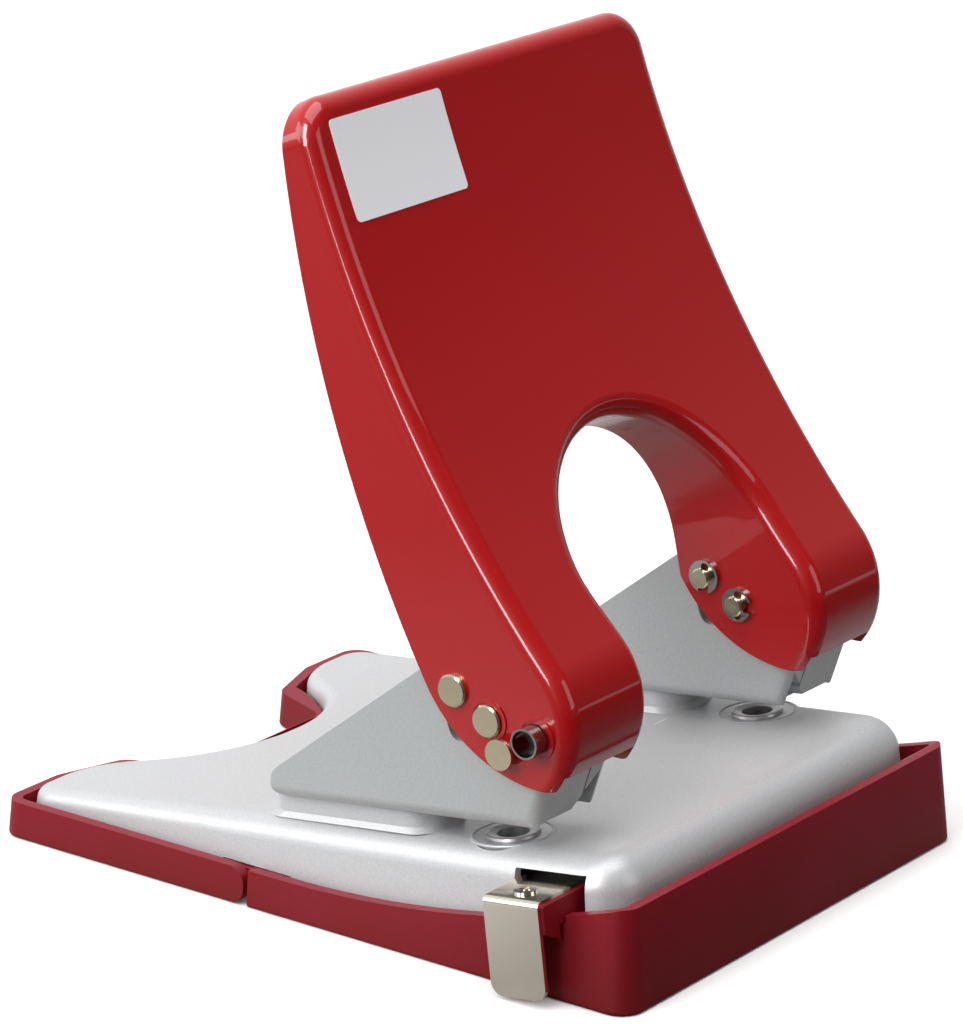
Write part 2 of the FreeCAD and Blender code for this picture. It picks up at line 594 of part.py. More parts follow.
for number in range(GRIP_SLOT_COUNT):
    centre = GRIP_EDGE - GRIP_SLOT_MARGIN - GRIP_SLOT_PITCH * number
    reach = math.sqrt((NOTCH_RADIUS - GRIP_SLOT_MARGIN) ** 2 - (NOTCH_CENTRE_Y - centre) ** 2)
    half = GRIP_SLOT_WIDTH / 2
    outline = both_sides([(reach, centre - half, half * 0.98), (reach, centre + half, half * 0.98)])
    slot = Part.Face(rounded_wire(outline, flat(BOOT_FLOOR + 1))).extrude(Vector(0, 0, BIG))
    door = door.cut(slot)
save("tray_door", solid_of(door))

# ---------------------------------------------------------------- brackets and their seats
# drawn for the -X side about x = 0, outer plate at -x, then moved out; the +X side is its mirror
pivot_u, pivot_w = to_deck(PIVOT_Y, PIVOT_Z)
inner_half = BRACKET_HALF_WIDTH - BRACKET_SHEET
web_top = PAPER_GAP + BRACKET_SHEET
crest_run = (BRACKET_TOP - PAPER_GAP - BRACKET_BACK_HEIGHT) / math.tan(math.radians(BRACKET_SLOPE))
bracket_outline = plate_x([(BRACKET_FRONT_FOOT, PAPER_GAP, 0),
                           (BRACKET_BACK, PAPER_GAP, BRACKET_BEND),
                           (BRACKET_BACK, PAPER_GAP + BRACKET_BACK_HEIGHT, BRACKET_BACK_ROUND),
                           (BRACKET_BACK - crest_run, BRACKET_TOP, BRACKET_CREST_ROUND),
                           (BRACKET_FRONT, BRACKET_TOP, BRACKET_TOP_CORNER),
                           (BRACKET_FRONT, BRACKET_FRONT_KNEE, BRACKET_KNEE_ROUND)],
                          -BRACKET_HALF_WIDTH, BRACKET_HALF_WIDTH)
folded_block = plate_x([(BRACKET_FRONT_FOOT, PAPER_GAP, 0), (BIG, PAPER_GAP, 0), (BIG, BIG, 0),
                        (BRACKET_FRONT, BIG, 0), (BRACKET_FRONT, BRACKET_FRONT_KNEE, 0)],
                       -BRACKET_HALF_WIDTH, BRACKET_HALF_WIDTH)


def front_fold(edge):
    extent = edge.BoundBox
    ahead = extent.YMax < BRACKET_FRONT_FOOT + 0.01 and extent.XLength < 0.01
    return (FOLD_RADIUS,) * 2 if ahead else None


def prism_u(corners, u_low, u_high):
    """Prism along the deck's slope from its (x, w) section."""
    face = Part.Face(rounded_wire(corners, lambda a, b: Vector(a, u_low, b)))
    return face.extrude(Vector(0, u_high - u_low, 0))


section = prism_u([(-BRACKET_HALF_WIDTH, PAPER_GAP, BRACKET_BEND), (BRACKET_HALF_WIDTH, PAPER_GAP, BRACKET_BEND),
                   (BRACKET_HALF_WIDTH, BIG, 0), (-BRACKET_HALF_WIDTH, BIG, 0)], -BIG, BIG)
flap_back = BRACKET_FRONT + BRACKET_SHEET
foot_back = BRACKET_FRONT_FOOT + BRACKET_SHEET * 1.1
hollow = plate_x([(foot_back, web_top, 0), (BIG, web_top, 0), (BIG, BIG, 0), (flap_back, BIG, 0),
                  (flap_back, BRACKET_FRONT_KNEE, 0)], -inner_half, inner_half)
web_front = foot_back + FLAP_RELIEF
cuts = [hollow,
        box(-inner_half, inner_half, -BIG, flap_back + 1, FLAP_TOP, BIG),
        box(FLAP_SEAM - FLAP_GAP / 2, FLAP_SEAM + FLAP_GAP / 2, -BIG, web_front, 0, FLAP_TOP + 1),
        box(-inner_half, inner_half, -BIG, web_front, 0, PAPER_GAP + FLAP_FOOT),
        box(-inner_half, inner_half, foot_back - FLAP_RELIEF / 2, web_front, 0, web_top + 0.1),
        prism_u([(FLAP_SEAM, 0, 0), (inner_half, 0, 0), (inner_half, PAPER_GAP + FLAP_FOLD_FOOT, 0),
                 (FLAP_SEAM, PAPER_GAP + FLAP_INNER_FOOT, 0)], -BIG, web_front),
        prism_u([(FLAP_SEAM - FLAP_CHAMFER, PAPER_GAP + FLAP_FOOT - 0.1, 0), (FLAP_SEAM, PAPER_GAP + FLAP_FOOT - 0.1, 0),
                 (FLAP_SEAM, PAPER_GAP + FLAP_FOOT + FLAP_CHAMFER, 0)], -BIG, web_front),
        rod_w(GUIDE_BODY_RADIUS, 0, 0, 0, web_top + 1)]
cuts += [rod_w(RIVET_RADIUS, 0, u, 0, web_top + 1) for u in RIVET_ROWS]
bracket = fillet_edges(folded_block, front_fold).common(section).common(bracket_outline)
bracket = solid_of(bracket.cut(Part.makeCompound(cuts)))


def arc_slot(half_width, x_low, x_high):
    """Slot that the drive pin sweeps round the pivot pin."""
    high, low = DRIVE_ANGLE, DRIVE_ANGLE - HANDLE_SWING
    middle = (high + low) / 2
    turn = math.degrees(half_width / DRIVE_RADIUS)

    def at(radius, angle):
        return Vector(x_low, *around_pivot(radius, angle))
    outer_r, inner_r = DRIVE_RADIUS + half_width, DRIVE_RADIUS - half_width
    edges = [Part.Arc(at(outer_r, high), at(outer_r, middle), at(outer_r, low)),
             Part.Arc(at(outer_r, low), at(DRIVE_RADIUS, low - turn), at(inner_r, low)),
             Part.Arc(at(inner_r, low), at(inner_r, middle), at(inner_r, high)),
             Part.Arc(at(inner_r, high), at(DRIVE_RADIUS, high + turn), at(outer_r, high))]
    return Part.Face(Part.Wire([edge.toShape() for edge in edges])).extrude(Vector(x_high - x_low, 0, 0))


lock_here = around_pivot(LOCK_RADIUS, LOCK_ANGLE)
lock_down = around_pivot(LOCK_RADIUS, LOCK_ANGLE - HANDLE_SWING)
bracket = on_deck(bracket)
bracket = bracket.cut(rod_x(PIN_BORE, -BIG, BIG, PIVOT_Y, PIVOT_Z))
bracket = bracket.cut(arc_slot(PIN_RADIUS + SLOT_CLEARANCE, -BRACKET_HALF_WIDTH - 1, BRACKET_HALF_WIDTH + 1))
left_bracket = bracket.cut([rod_x(LOCK_PIN_RADIUS + LOCK_HOLE_CLEARANCE, -BIG, -inner_half, *place)
                            for place in (lock_here, lock_down)])


def save_pair(name, shape):
    """Writes a piece drawn about x = 0 for the -X side, and its mirror image."""
    placed = shape.translated(Vector(-BRACKET_X, 0, 0))
    save(name + "_left", placed)
    save(name + "_right", mirrored(placed))


save("bracket_left", left_bracket.translated(Vector(-BRACKET_X, 0, 0)))
save("bracket_right", mirrored(bracket.translated(Vector(-BRACKET_X, 0, 0))))

seat_plan = both_sides([(SEAT_HALF_WIDTH, SEAT_START, SEAT_FRONT_ROUND), (SEAT_HALF_WIDTH, SEAT_BACK, SEAT_BACK_ROUND)])
seat = Part.Face(rounded_wire(seat_plan, flat(DECK_TOP))).extrude(Vector(0, 0, PAPER_GAP - DECK_TOP))
flare = Part.makeLoft([rounded_wire(inset_corners(seat_plan, -SEAT_FLARE), flat(DECK_TOP)),
                       rounded_wire(seat_plan, flat(DECK_TOP + 1.5 * SEAT_FLARE))], True, True)
seat = solid_of(seat.fuse(flare).cut([rod_w(RIVET_RADIUS, 0, u, DECK_TOP - 1, BIG) for u in RIVET_ROWS]))
save_pair("bracket_seat", on_deck(seat))

for number, u in enumerate(RIVET_ROWS, 1):
    under = DIE_PLATE_UNDER
    save_pair("bracket_rivet_%d" % number, on_deck(revolved_w([
        (0, under - RIVET_HEAD_HEIGHT), (RIVET_HEAD_FLAT, under - RIVET_HEAD_HEIGHT),
        (RIVET_HEAD_RADIUS, under - RIVET_HEAD_RIM), (RIVET_HEAD_RADIUS, under), (RIVET_RADIUS, under),
        (RIVET_RADIUS, web_top), (RIVET_HEAD_RADIUS, web_top), (RIVET_HEAD_RADIUS, web_top + RIVET_HEAD_RIM),
        (RIVET_HEAD_FLAT, web_top + RIVET_HEAD_HEIGHT), (0, web_top + RIVET_HEAD_HEIGHT)], 0, u)))

# ---------------------------------------------------------------- punches, guides, springs
guide_flange_top = web_top + GUIDE_FLANGE
guide = revolved_w([(BORE_RADIUS, PAPER_GAP), (GUIDE_BODY_RADIUS, PAPER_GAP), (GUIDE_BODY_RADIUS, web_top),
                    (GUIDE_FLANGE_RADIUS, web_top), (GUIDE_FLANGE_RADIUS, guide_flange_top),
                    (GUIDE_BODY_RADIUS, guide_flange_top), (GUIDE_BODY_RADIUS, GUIDE_HEIGHT - GUIDE_CHAMFER),
                    (GUIDE_BODY_RADIUS - GUIDE_CHAMFER, GUIDE_HEIGHT), (BORE_RADIUS, GUIDE_HEIGHT)], 0, 0)
save_pair("punch_guide", on_deck(guide))

tip = PAPER_GAP + PUNCH_TIP_RETRACT
punch = revolved_w([(0, tip), (PUNCH_RADIUS, tip), (PUNCH_RADIUS, PUNCH_COLLAR_FOOT),
                    (PUNCH_COLLAR_RADIUS, PUNCH_COLLAR_FOOT), (PUNCH_COLLAR_RADIUS, PUNCH_HEAD_FOOT),
                    (PUNCH_HEAD_RADIUS, PUNCH_HEAD_FOOT), (PUNCH_HEAD_RADIUS, PUNCH_HEAD_TOP - PUNCH_HEAD_CHAMFER),
                    (PUNCH_HEAD_RADIUS - PUNCH_HEAD_CHAMFER, PUNCH_HEAD_TOP), (0, PUNCH_HEAD_TOP)], 0, 0)
vee = prism_u([(-PUNCH_RADIUS - 1, tip - 1, 0), (PUNCH_RADIUS + 1, tip - 1, 0), (PUNCH_RADIUS + 1, tip, 0),
               (0, tip + PUNCH_NOTCH, 0), (-PUNCH_RADIUS - 1, tip, 0)], -BIG, BIG)
drive_places = [to_deck(*around_pivot(DRIVE_RADIUS, DRIVE_ANGLE - HANDLE_SWING * part / 8)) for part in range(9)]
drive_w = drive_places[0][1] + HEAD_SLOT_LIFT
slot_half = PIN_RADIUS + HEAD_SLOT_CLEARANCE
head_slot = box(-BIG, BIG, min(u for u, w in drive_places) - slot_half, max(u for u, w in drive_places) + slot_half,
                drive_w - slot_half, drive_w + slot_half)
pivot_flat = box(-BIG, BIG, -BIG, pivot_u + PIN_RADIUS + FIT_GAP, PUNCH_HEAD_FOOT, BIG)
save_pair("punch", on_deck(solid_of(punch.cut([vee, head_slot, pivot_flat]))))

spring_foot, spring_top = guide_flange_top + SPRING_WIRE_RADIUS, PUNCH_COLLAR_FOOT - SPRING_WIRE_RADIUS


def coil_point(step):
    """Point on the spring's helix, SPRING_STEPS to a turn."""
    turn = 2 * math.pi * step / SPRING_STEPS
    climb = (spring_top - spring_foot) * step / (SPRING_TURNS * SPRING_STEPS)
    return Vector(SPRING_RADIUS * math.cos(turn), SPRING_RADIUS * math.sin(turn), spring_foot + climb)


coil = Part.makePolygon([coil_point(step) for step in range(SPRING_TURNS * SPRING_STEPS + 1)])
coil_way = coil_point(1) - coil_point(0)
around_wire = [coil_point(0) + FreeCAD.Rotation(coil_way, 360 * side_number / SPRING_WIRE_SIDES).multVec(
    coil_way.cross(Vector(0, 0, 1)).normalize() * SPRING_WIRE_RADIUS) for side_number in range(SPRING_WIRE_SIDES)]
wire_section = Part.makePolygon(around_wire + around_wire[:1])
spring = coil.makePipeShell([wire_section], True, False, 1)
save_pair("return_spring", on_deck(spring))

# ---------------------------------------------------------------- handle
lean = math.radians(HANDLE_LEAN)
PIVOT = Vector(0, PIVOT_Y, PIVOT_Z)
ALONG = Vector(0, math.sin(lean), math.cos(lean))       # up the handle
OUTWARD = Vector(0, -math.cos(lean), math.sin(lean))    # out of its face


def on_handle(x, a, n):
    return PIVOT + Vector(x, 0, 0) + ALONG * a + OUTWARD * n


def plan_prism(corners):
    """Prism through the handle, square to its length, from its (x, a) plan."""
    face = Part.Face(rounded_wire(corners, lambda x, a: on_handle(x, a, -BIG / 2)))
    return face.extrude(OUTWARD * BIG)


def in_side_view(point):
    return Vector(point.y, point.z, 0)


def from_side_view(point, x):
    return Vector(x, point.x, point.y)


def at_angle(centre, radius, degrees):
    return centre + Vector(math.cos(math.radians(degrees)), math.sin(math.radians(degrees)), 0) * radius


def bearing(centre, point):
    return math.degrees(math.atan2(point.y - centre.y, point.x - centre.x))


pivot_2d = in_side_view(PIVOT)
face_top = in_side_view(on_handle(0, HANDLE_TOP, HANDLE_TOP_REACH))
face_centre = circle_centre(pivot_2d, FACE_RADIUS + ARM_END_RADIUS, face_top, FACE_RADIUS)
HANDLE_PLAN = [(-HANDLE_HALF_WIDTH, -BIG / 4, 0), (-WINDOW_RADIUS, -BIG / 4, 0),
               (-WINDOW_RADIUS, WINDOW_CENTRE + WINDOW_RADIUS, WINDOW_RADIUS),
               (WINDOW_RADIUS, WINDOW_CENTRE + WINDOW_RADIUS, WINDOW_RADIUS),
               (WINDOW_RADIUS, -BIG / 4, 0), (HANDLE_HALF_WIDTH, -BIG / 4, 0),
               (HANDLE_HALF_WIDTH, HANDLE_TOP, HANDLE_TOP_CORNER), (-HANDLE_HALF_WIDTH, HANDLE_TOP, HANDLE_TOP_CORNER)]


def handle_form(inset):
    """Block behind the pressing's face, inset by the sheet for its hollow."""
    face_radius, end_radius = FACE_RADIUS + inset, ARM_END_RADIUS - inset
    join_angle = bearing(face_centre, pivot_2d)
    top_angle = bearing(face_centre, face_top) + 4
    upper = at_angle(face_centre, face_radius, top_angle)
    join = at_angle(face_centre, face_radius, join_angle)
    low = at_angle(pivot_2d, end_radius, 265)
    back = 2 * HANDLE_TOP
    edges = [Part.Arc(*(from_side_view(point, -BIG) for point in
                        (upper, at_angle(face_centre, face_radius, (top_angle + join_angle) / 2), join))).toShape(),
             Part.Arc(*(from_side_view(point, -BIG) for point in
                        (join, at_angle(pivot_2d, end_radius, 210), low))).toShape(),
             Part.makePolygon([from_side_view(point, -BIG) for point in
                               (low, Vector(back, low.y, 0), Vector(back, upper.y, 0), upper)])]
    side_block = Part.Face(Part.Wire([edge for shape in edges for edge in shape.Edges])).extrude(Vector(2 * BIG, 0, 0))
    block = solid_of(side_block.common(plan_prism(inset_corners(HANDLE_PLAN, inset))))

    def fold(edge):
        middle = in_side_view(edge.valueAt((edge.FirstParameter + edge.LastParameter) / 2))
        ends = [in_side_view(vertex.Point) for vertex in edge.Vertexes]
        on_face = abs((middle - face_centre).Length - face_radius) < 0.01 and middle.y > join.y - 0.01
        on_end = abs((middle - pivot_2d).Length - end_radius) < 0.01 and middle.x < pivot_2d.x
        seam = any(all((end - stop).Length < 0.01 for end in ends + [middle]) for stop in (join, low))
        if seam or not (on_face or on_end):
            return None
        return tuple((NOSE_FOLD if (end - low).Length < 0.01 else HANDLE_FOLD) - inset for end in (ends[0], ends[-1]))
    return fillet_edges(block, fold)


skirt_top = face_top - in_side_view(OUTWARD) * SKIRT_TOP_DEPTH
foot_centre = pivot_2d + Vector(SKIRT_FOOT_Y, SKIRT_FOOT_Z, 0)
skirt_centre = circle_centre(foot_centre, SKIRT_RADIUS - SKIRT_FOOT_RADIUS, skirt_top, SKIRT_RADIUS)
join_angle = bearing(skirt_centre, foot_centre)
skirt_join = at_angle(skirt_centre, SKIRT_RADIUS, join_angle)
tip_centre = circle_centre(pivot_2d, ARM_END_RADIUS - SKIRT_TIP_RADIUS, foot_centre, SKIRT_FOOT_RADIUS - SKIRT_TIP_RADIUS)
tip_low, tip_front = bearing(foot_centre, tip_centre), bearing(pivot_2d, tip_centre)
skirt_low = at_angle(tip_centre, SKIRT_TIP_RADIUS, tip_low)
skirt_front = at_angle(tip_centre, SKIRT_TIP_RADIUS, tip_front)
above = skirt_top + in_side_view(ALONG) * 20
skirt_edges = [Part.Arc(*(from_side_view(point, -BIG) for point in
                          (skirt_top, at_angle(skirt_centre, SKIRT_RADIUS, (bearing(skirt_centre, skirt_top) + join_angle) / 2),
                           skirt_join))).toShape(),
               Part.Arc(*(from_side_view(point, -BIG) for point in
                          (skirt_join, at_angle(foot_centre, SKIRT_FOOT_RADIUS, (join_angle + tip_low) / 2), skirt_low))).toShape(),
               Part.Arc(*(from_side_view(point, -BIG) for point in
                          (skirt_low, at_angle(tip_centre, SKIRT_TIP_RADIUS, (tip_low + tip_front) / 2),
                           skirt_front))).toShape()]
skirt_edges += Part.makePolygon([from_side_view(point, -BIG) for point in
                                 (skirt_front, Vector(-BIG / 2, skirt_front.y, 0), Vector(-BIG / 2, above.y, 0), above,
                                  skirt_top)]).Edges
skirt_block = Part.Face(Part.Wire(skirt_edges)).extrude(Vector(2 * BIG, 0, 0))
handle = handle_form(0).common(skirt_block).cut(handle_form(HANDLE_SHEET))
plate_foot = foot_centre.y - SKIRT_FOOT_RADIUS + SKIRT_TRIM
inner_side, outer_side = WINDOW_RADIUS + HANDLE_SHEET, HANDLE_HALF_WIDTH - HANDLE_SHEET
for x_low, x_high in ((inner_side, outer_side), (-outer_side, -inner_side)):
    handle = handle.cut(box(x_low, x_high, -BIG, PIVOT_Y, 0, plate_foot))
arch_edge = [pivot_2d + Vector(ARCH_EDGE_REACH + rise * math.tan(math.radians(ARCH_EDGE_LEAN)), rise, 0)
             for rise in (-ARM_END_RADIUS, WINDOW_CENTRE + WINDOW_RADIUS)]
handle = handle.cut(plate_x([(BIG, arch_edge[0].y, 0), (BIG, arch_edge[1].y, 0), (arch_edge[1].x, arch_edge[1].y, 0),
                             (arch_edge[0].x, arch_edge[0].y, 0)], -inner_side - FIT_GAP, inner_side + FIT_GAP))

drive_here = around_pivot(DRIVE_RADIUS, DRIVE_ANGLE)
eyelet_here = around_pivot(EYELET_DISTANCE, EYELET_ANGLE)
collar = rod_x(COLLAR_RADIUS, -HANDLE_HALF_WIDTH - COLLAR_HEIGHT, -HANDLE_HALF_WIDTH + 0.2, PIVOT_Y, PIVOT_Z)
collar = collar.cut(rod_x(COLLAR_RADIUS - COLLAR_WALL, -BIG, 0, PIVOT_Y, PIVOT_Z))
eyelet_collar = collar.translated(Vector(0, eyelet_here[0] - PIVOT_Y, eyelet_here[1] - PIVOT_Z))
handle = handle.fuse([collar, mirrored(collar), eyelet_collar])
handle = handle.cut([rod_x(PIN_RADIUS, -BIG, BIG, PIVOT_Y, PIVOT_Z), rod_x(PIN_RADIUS, -BIG, BIG, *drive_here),
                     rod_x(LOCK_PIN_RADIUS + RUNNING_CLEARANCE, -BIG, -BRACKET_X, *lock_here),
                     rod_x(EYELET_RADIUS, -BIG, -BRACKET_X, *eyelet_here)])
save("handle", solid_of(handle))

# ---------------------------------------------------------------- pins and clips in the handle
def headed_pin(y, z):
    clip_low = -WINDOW_RADIUS
    end = -WINDOW_RADIUS + PIN_END
    shank = rod_x(PIN_RADIUS, -HANDLE_HALF_WIDTH, end, y, z)
    head = rod_x(PIN_HEAD_RADIUS, -HANDLE_HALF_WIDTH - PIN_HEAD_THICKNESS, -HANDLE_HALF_WIDTH, y, z)
    groove = rod_x(PIN_RADIUS + 1, clip_low, clip_low + CLIP_THICKNESS, y, z).cut(
        rod_x(PIN_RADIUS - CLIP_GROOVE, clip_low - 1, clip_low + CLIP_THICKNESS + 1, y, z))
    pin = solid_of(shank.fuse(head).cut(groove))
    rims = [edge for edge in pin.Edges if edge.BoundBox.XLength < 0.01 and
            (abs(edge.CenterOfMass.x - end) < 0.01 or edge.BoundBox.XMax < -HANDLE_HALF_WIDTH - PIN_HEAD_THICKNESS + 0.01)]
    return pin.makeChamfer(PIN_CHAMFER, rims)


def clip(y, z, mouth_angle):
    """E-clip in a pin's groove against the inner skirt, its mouth at this angle."""
    low = -WINDOW_RADIUS
    ring = rod_x(CLIP_RADIUS, low, low + CLIP_THICKNESS, y, z).cut(
        rod_x(PIN_RADIUS - CLIP_GROOVE, low - 1, low + CLIP_THICKNESS + 1, y, z))
    mouth = box(low - 1, low + CLIP_THICKNESS + 1, y, y + CLIP_RADIUS + 1, z - CLIP_MOUTH / 2, z + CLIP_MOUTH / 2)
    for turn in (-100, 100):
        lobe = rod_x(CLIP_RADIUS * 0.28, low - 1, low + CLIP_THICKNESS + 1, y + (PIN_RADIUS - CLIP_GROOVE + 0.5), z)
        lobe.rotate(Vector(0, y, z), Vector(1, 0, 0), turn)
        ring = ring.cut(lobe)
    mouth.rotate(Vector(0, y, z), Vector(1, 0, 0), mouth_angle)
    return solid_of(ring.cut(mouth))


def save_mirrored(name, shape):
    save(name + "_left", shape)
    save(name + "_right", mirrored(shape))


save_mirrored("pivot_pin", headed_pin(PIVOT_Y, PIVOT_Z))
save_mirrored("drive_pin", headed_pin(*drive_here))
save_mirrored("pivot_clip", clip(PIVOT_Y, PIVOT_Z, 180))
save_mirrored("drive_clip", clip(*drive_here, -90))

lock_head_foot = -HANDLE_HALF_WIDTH - COLLAR_HEIGHT - LOCK_STOP_GAP - LOCK_TRAVEL
lock_pin = rod_x(LOCK_PIN_RADIUS, lock_head_foot, -HANDLE_HALF_WIDTH + HANDLE_SHEET, *lock_here)
lock_pin = lock_pin.fuse(rod_x(LOCK_HEAD_RADIUS, lock_head_foot - LOCK_HEAD_THICKNESS, lock_head_foot, *lock_here))
save("lock_pin", solid_of(lock_pin))

eyelet = rod_x(EYELET_RADIUS, -HANDLE_HALF_WIDTH - EYELET_PROUD, -HANDLE_HALF_WIDTH + HANDLE_SHEET, *eyelet_here)
save("lock_eyelet", eyelet.cut(rod_x(EYELET_BORE, -BIG, 0, *eyelet_here)))

label_low, label_high = HANDLE_TOP - LABEL_TOP_EDGE - LABEL_HEIGHT, HANDLE_TOP - LABEL_TOP_EDGE
label_out = -HANDLE_HALF_WIDTH + LABEL_OUTER_EDGE
label_plan = [(label_out, label_low, 1.0), (label_out + LABEL_WIDTH, label_low, 1.0),
              (label_out + LABEL_WIDTH, label_high, 1.0), (label_out, label_high, 1.0)]
label_skin = rod_x(FACE_RADIUS, -BIG, BIG, face_centre.x, face_centre.y).cut(
    rod_x(FACE_RADIUS - LABEL_THICKNESS, -BIG, BIG, face_centre.x, face_centre.y))
label_box = Part.Face(rounded_wire(label_plan, lambda x, a: on_handle(x, a, -BIG / 8))).extrude(OUTWARD * BIG / 4)
save("instruction_label", solid_of(label_skin.common(label_box)))

# ---------------------------------------------------------------- paper gauge
steel_top = -GAUGE_DROP
steel_under = steel_top - GAUGE_STEEL
leaf = prism_u([(-GAUGE_OUT, -GAUGE_STOP_FOOT, 0), (-GAUGE_OUT + GAUGE_STEEL, -GAUGE_STOP_FOOT, 0),
                (-GAUGE_OUT + GAUGE_STEEL, steel_under, GAUGE_BEND - GAUGE_STEEL), (GAUGE_INNER_END, steel_under, 0),
                (GAUGE_INNER_END, steel_top, 0), (-GAUGE_OUT, steel_top, GAUGE_BEND)], GAUGE_FRONT_EDGE, GAUGE_BACK_EDGE)
rounded_leaf = plate_x([(GAUGE_FRONT_EDGE, -GAUGE_STOP_FOOT, GAUGE_STOP_CORNER), (GAUGE_BACK_EDGE, -GAUGE_STOP_FOOT, GAUGE_STOP_CORNER),
                        (GAUGE_BACK_EDGE, steel_top + 1, 0), (GAUGE_FRONT_EDGE, steel_top + 1, 0)], -BIG, BIG)
gauge_middle = (GAUGE_FRONT_EDGE + GAUGE_BACK_EDGE) / 2
screw_hole = rod_w(GAUGE_SCREW_RADIUS, -GAUGE_SCREW_X, gauge_middle, steel_under - GAUGE_SCREW_DEPTH, BIG)
save("gauge_stop", on_deck(solid_of(leaf.common(rounded_leaf).cut(screw_hole))))

carrier_out = -GAUGE_OUT + GAUGE_STEEL
carrier = prism_u([(carrier_out, -GUSSET_OUTER_DROP, 0), (-BOOT_HALF_WIDTH, -GUSSET_INNER_DROP, 0),
                   (-BOOT_HALF_WIDTH, GAUGE_UNDER, 0), (GAUGE_INNER_END, GAUGE_UNDER, 0),
                   (GAUGE_INNER_END, steel_under, 0), (carrier_out, steel_under, GAUGE_BEND - GAUGE_STEEL)],
                  GAUGE_FRONT_EDGE - GAUGE_SIDE, GAUGE_BACK_EDGE + GAUGE_SIDE)
save("gauge_bar", on_deck(solid_of(carrier.cut(screw_hole))))

screw = rod_w(GAUGE_SCREW_RADIUS, -GAUGE_SCREW_X, gauge_middle, steel_under - GAUGE_SCREW_DEPTH, steel_top)
head = rod_w(GAUGE_SCREW_HEAD, -GAUGE_SCREW_X, gauge_middle, steel_top, steel_top + GAUGE_SCREW_RISE)
cross, across = (box(-GAUGE_SCREW_X - long_x, -GAUGE_SCREW_X + long_x, gauge_middle - long_u, gauge_middle + long_u,
                     steel_top + GAUGE_SCREW_RISE / 3, steel_top + 1)
                 for long_x, long_u in ((GAUGE_SCREW_CROSS, GAUGE_SCREW_SLOT), (GAUGE_SCREW_SLOT, GAUGE_SCREW_CROSS)))
save("gauge_screw", on_deck(solid_of(screw.fuse(head).cut([cross, across]))))

bar_front, bar_back = GAUGE_FRONT_EDGE - GAUGE_SIDE - FIT_GAP, GAUGE_BACK_EDGE + GAUGE_SIDE + FIT_GAP
tube = box(-tube_outer, GUIDE_TUBE_LENGTH - tube_outer, bar_front - GUIDE_TUBE_WALL, bar_back + GUIDE_TUBE_WALL,
           GAUGE_UNDER - FIT_GAP - GUIDE_TUBE_WALL, DECK_UNDER)
save("gauge_guide", on_deck(tube.cut(box(-BIG, BIG, bar_front, bar_back, GAUGE_UNDER - FIT_GAP, steel_top + FIT_GAP))))
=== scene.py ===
"""Looks of the two-hole paper drill: finishes, small pieces on the deck, studio and camera."""
import json
import math

import bmesh
import bpy
import numpy as np
from mathutils import Matrix, Vector


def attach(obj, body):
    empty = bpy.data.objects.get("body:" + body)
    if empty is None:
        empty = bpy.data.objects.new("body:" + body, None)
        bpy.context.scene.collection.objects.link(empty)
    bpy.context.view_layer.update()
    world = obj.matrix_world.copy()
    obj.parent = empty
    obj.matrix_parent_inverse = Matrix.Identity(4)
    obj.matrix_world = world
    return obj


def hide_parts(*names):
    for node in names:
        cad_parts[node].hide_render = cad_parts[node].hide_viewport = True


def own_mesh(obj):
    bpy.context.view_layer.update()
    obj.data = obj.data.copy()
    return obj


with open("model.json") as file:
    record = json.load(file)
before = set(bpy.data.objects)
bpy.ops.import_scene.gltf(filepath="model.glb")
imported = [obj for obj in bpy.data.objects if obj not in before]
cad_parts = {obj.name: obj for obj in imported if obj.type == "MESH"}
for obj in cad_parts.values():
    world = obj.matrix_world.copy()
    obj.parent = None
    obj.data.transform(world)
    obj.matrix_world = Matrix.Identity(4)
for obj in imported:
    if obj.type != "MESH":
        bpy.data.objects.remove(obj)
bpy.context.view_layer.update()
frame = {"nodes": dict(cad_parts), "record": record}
scene = bpy.context.scene


